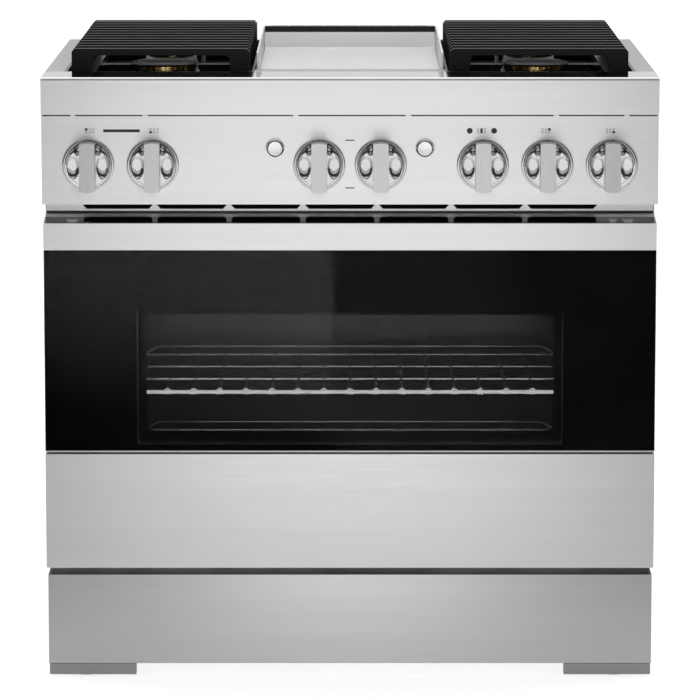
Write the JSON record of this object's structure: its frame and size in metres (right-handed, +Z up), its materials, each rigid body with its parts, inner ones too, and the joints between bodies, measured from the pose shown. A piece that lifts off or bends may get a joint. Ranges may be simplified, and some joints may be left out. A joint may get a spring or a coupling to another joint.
{
  "type": "freestanding gas range",
  "caption": "Freestanding steel gas range with open burners under cast grates, a griddle between them, and a drop-down oven door with a window.",
  "frame": {"origin": "on the floor, under the middle of the range's bounding box", "axes": "+Z up, -Y out of the front (the door and knobs), +X to the right when facing the front"},
  "size_m": [0.911, 0.748, 0.945],
  "materials": {
    "brushed_steel": "horizontal brushed grain",
    "polished_steel": "bright polished sheet",
    "zinc_steel": "zinc-plated, satin",
    "chrome": "bright plated",
    "black_enamel": "gloss porcelain enamel",
    "grey_enamel": "speckled porcelain enamel",
    "cast_iron": "matt black coated casting",
    "brass": "machined",
    "aluminium": "die-cast",
    "black_glass": "gloss, printed black on the inside",
    "clear_glass": "clear",
    "mineral_wool": "matt fibre",
    "gasket": "woven glass-fibre rope",
    "ceramic": null,
    "black_plastic": "moulded switch housing"
  },
  "bodies": {
    "range": {"base_frame": "zinc_steel", "side_panels": "zinc_steel", "rear_panel": "zinc_steel", "front_frame": "black_enamel", "oven_liner": "grey_enamel", "oven_floor": "grey_enamel", "oven_insulation": "mineral_wool", "rack_guides": "chrome", "bake_burner": "zinc_steel", "broil_burner": "zinc_steel", "fan_baffle": "grey_enamel", "fan_motor": "zinc_steel", "oven_lamps": "clear_glass", "control_panel": "brushed_steel", "front_fascia": "brushed_steel", "vent_rail": "brushed_steel", "control_bezels": "chrome", "gas_manifold": "zinc_steel", "gas_valves": "brass", "oven_switches": "black_plastic", "gas_regulator": "aluminium", "cooktop_frame": "brushed_steel", "burner_trays": "black_enamel", "burner_bases": "aluminium", "burner_rings": "brass", "burner_caps": "black_enamel", "igniters": "ceramic", "griddle_surround": "brushed_steel", "griddle_plate": "polished_steel", "griddle_burner": "zinc_steel", "griddle_flue": "black_enamel", "kick_panel": "brushed_steel", "leg_covers": "brushed_steel", "levelling_legs": "zinc_steel", "hinge_brackets": "zinc_steel"},
    "door": {"door_frame": "zinc_steel", "door_top_band": "brushed_steel", "door_glass": "black_glass", "door_lower_panel": "brushed_steel", "door_liner": "grey_enamel", "door_inner_glass": "clear_glass", "door_insulation": "mineral_wool", "door_gasket": "gasket", "hinge_arms": "zinc_steel"},
    "rack_top": {"rack_top": "chrome"},
    "rack_middle": {"rack_middle": "chrome"},
    "rack_bottom": {"rack_bottom": "chrome"},
    "grate_left": {"grate_left": "cast_iron"},
    "grate_right": {"grate_right": "cast_iron"},
    "grease_tray": {"grease_tray": "polished_steel"},
    "convection_fan": {"convection_fan": "polished_steel"},
    "knob_rear_left": {"knob_rear_left": "chrome"},
    "knob_front_left": {"knob_front_left": "chrome"},
    "knob_oven_mode": {"knob_oven_mode": "chrome"},
    "knob_oven_heat": {"knob_oven_heat": "chrome"},
    "knob_griddle": {"knob_griddle": "chrome"},
    "knob_rear_right": {"knob_rear_right": "chrome"},
    "knob_front_right": {"knob_front_right": "chrome"},
    "button_left": {"button_left": "chrome"},
    "button_right": {"button_right": "chrome"}
  },
  "joints": [
    {"name": "door_hinge", "type": "hinge", "parent": "range", "child": "door", "pos_m": [0, -0.277, 0.201], "axis": [1, 0, 0], "range_deg": [0, 90], "stiffness_Nm_per_rad": 26, "springref_deg": -11.46},
    {"name": "rack_top_slide", "type": "slide", "parent": "range", "child": "rack_top", "axis": [0, -1, 0], "range_m": [0, 0.301]},
    {"name": "rack_middle_slide", "type": "slide", "parent": "range", "child": "rack_middle", "axis": [0, -1, 0], "range_m": [0, 0.281]},
    {"name": "rack_bottom_slide", "type": "slide", "parent": "range", "child": "rack_bottom", "axis": [0, -1, 0], "range_m": [0, 0.141]},
    {"name": "grate_left_lift", "type": "slide", "parent": "range", "child": "grate_left", "axis": [0, 0, 1], "range_m": [0, 0.15]},
    {"name": "grate_right_lift", "type": "slide", "parent": "range", "child": "grate_right", "axis": [0, 0, 1], "range_m": [0, 0.15]},
    {"name": "grease_tray_lift", "type": "slide", "parent": "range", "child": "grease_tray", "axis": [0, 0, 1], "range_m": [0, 0.08]},
    {"name": "convection_fan_spin", "type": "hinge", "parent": "range", "child": "convection_fan", "pos_m": [0, 0.173, 0.47755], "axis": [0, 1, 0], "continuous": true},
    {"name": "knob_rear_left_turn", "type": "hinge", "parent": "range", "child": "knob_rear_left", "pos_m": [-0.386, -0.337, 0.7815], "axis": [0, -1, 0], "range_deg": [0, 270]},
    {"name": "knob_front_left_turn", "type": "hinge", "parent": "range", "child": "knob_front_left", "pos_m": [-0.291, -0.337, 0.7815], "axis": [0, -1, 0], "range_deg": [0, 270]},
    {"name": "knob_oven_mode_turn", "type": "hinge", "parent": "range", "child": "knob_oven_mode", "pos_m": [-0.0453, -0.337, 0.7815], "axis": [0, -1, 0], "range_deg": [-270, 0]},
    {"name": "knob_oven_heat_turn", "type": "hinge", "parent": "range", "child": "knob_oven_heat", "pos_m": [0.0453, -0.337, 0.7815], "axis": [0, -1, 0], "range_deg": [-300, 0]},
    {"name": "knob_griddle_turn", "type": "hinge", "parent": "range", "child": "knob_griddle", "pos_m": [0.196, -0.337, 0.7815], "axis": [0, -1, 0], "range_deg": [0, 270]},
    {"name": "knob_rear_right_turn", "type": "hinge", "parent": "range", "child": "knob_rear_right", "pos_m": [0.291, -0.337, 0.7815], "axis": [0, -1, 0], "range_deg": [0, 270]},
    {"name": "knob_front_right_turn", "type": "hinge", "parent": "range", "child": "knob_front_right", "pos_m": [0.386, -0.337, 0.7815], "axis": [0, -1, 0], "range_deg": [0, 270]},
    {"name": "button_left_press", "type": "slide", "parent": "range", "child": "button_left", "axis": [0, 1, 0], "range_m": [0, 0.003], "stiffness_N_per_m": 300, "springref_m": -0.002},
    {"name": "button_right_press", "type": "slide", "parent": "range", "child": "button_right", "axis": [0, 1, 0], "range_m": [0, 0.003], "stiffness_N_per_m": 300, "springref_m": -0.002}
  ],
  "couplings": [
    {"joint": "rack_top_slide", "follows": "door_hinge", "m_per_rad": 0.191},
    {"joint": "rack_middle_slide", "follows": "door_hinge", "m_per_rad": 0.1783},
    {"joint": "rack_bottom_slide", "follows": "door_hinge", "m_per_rad": 0.0891}
  ]
}
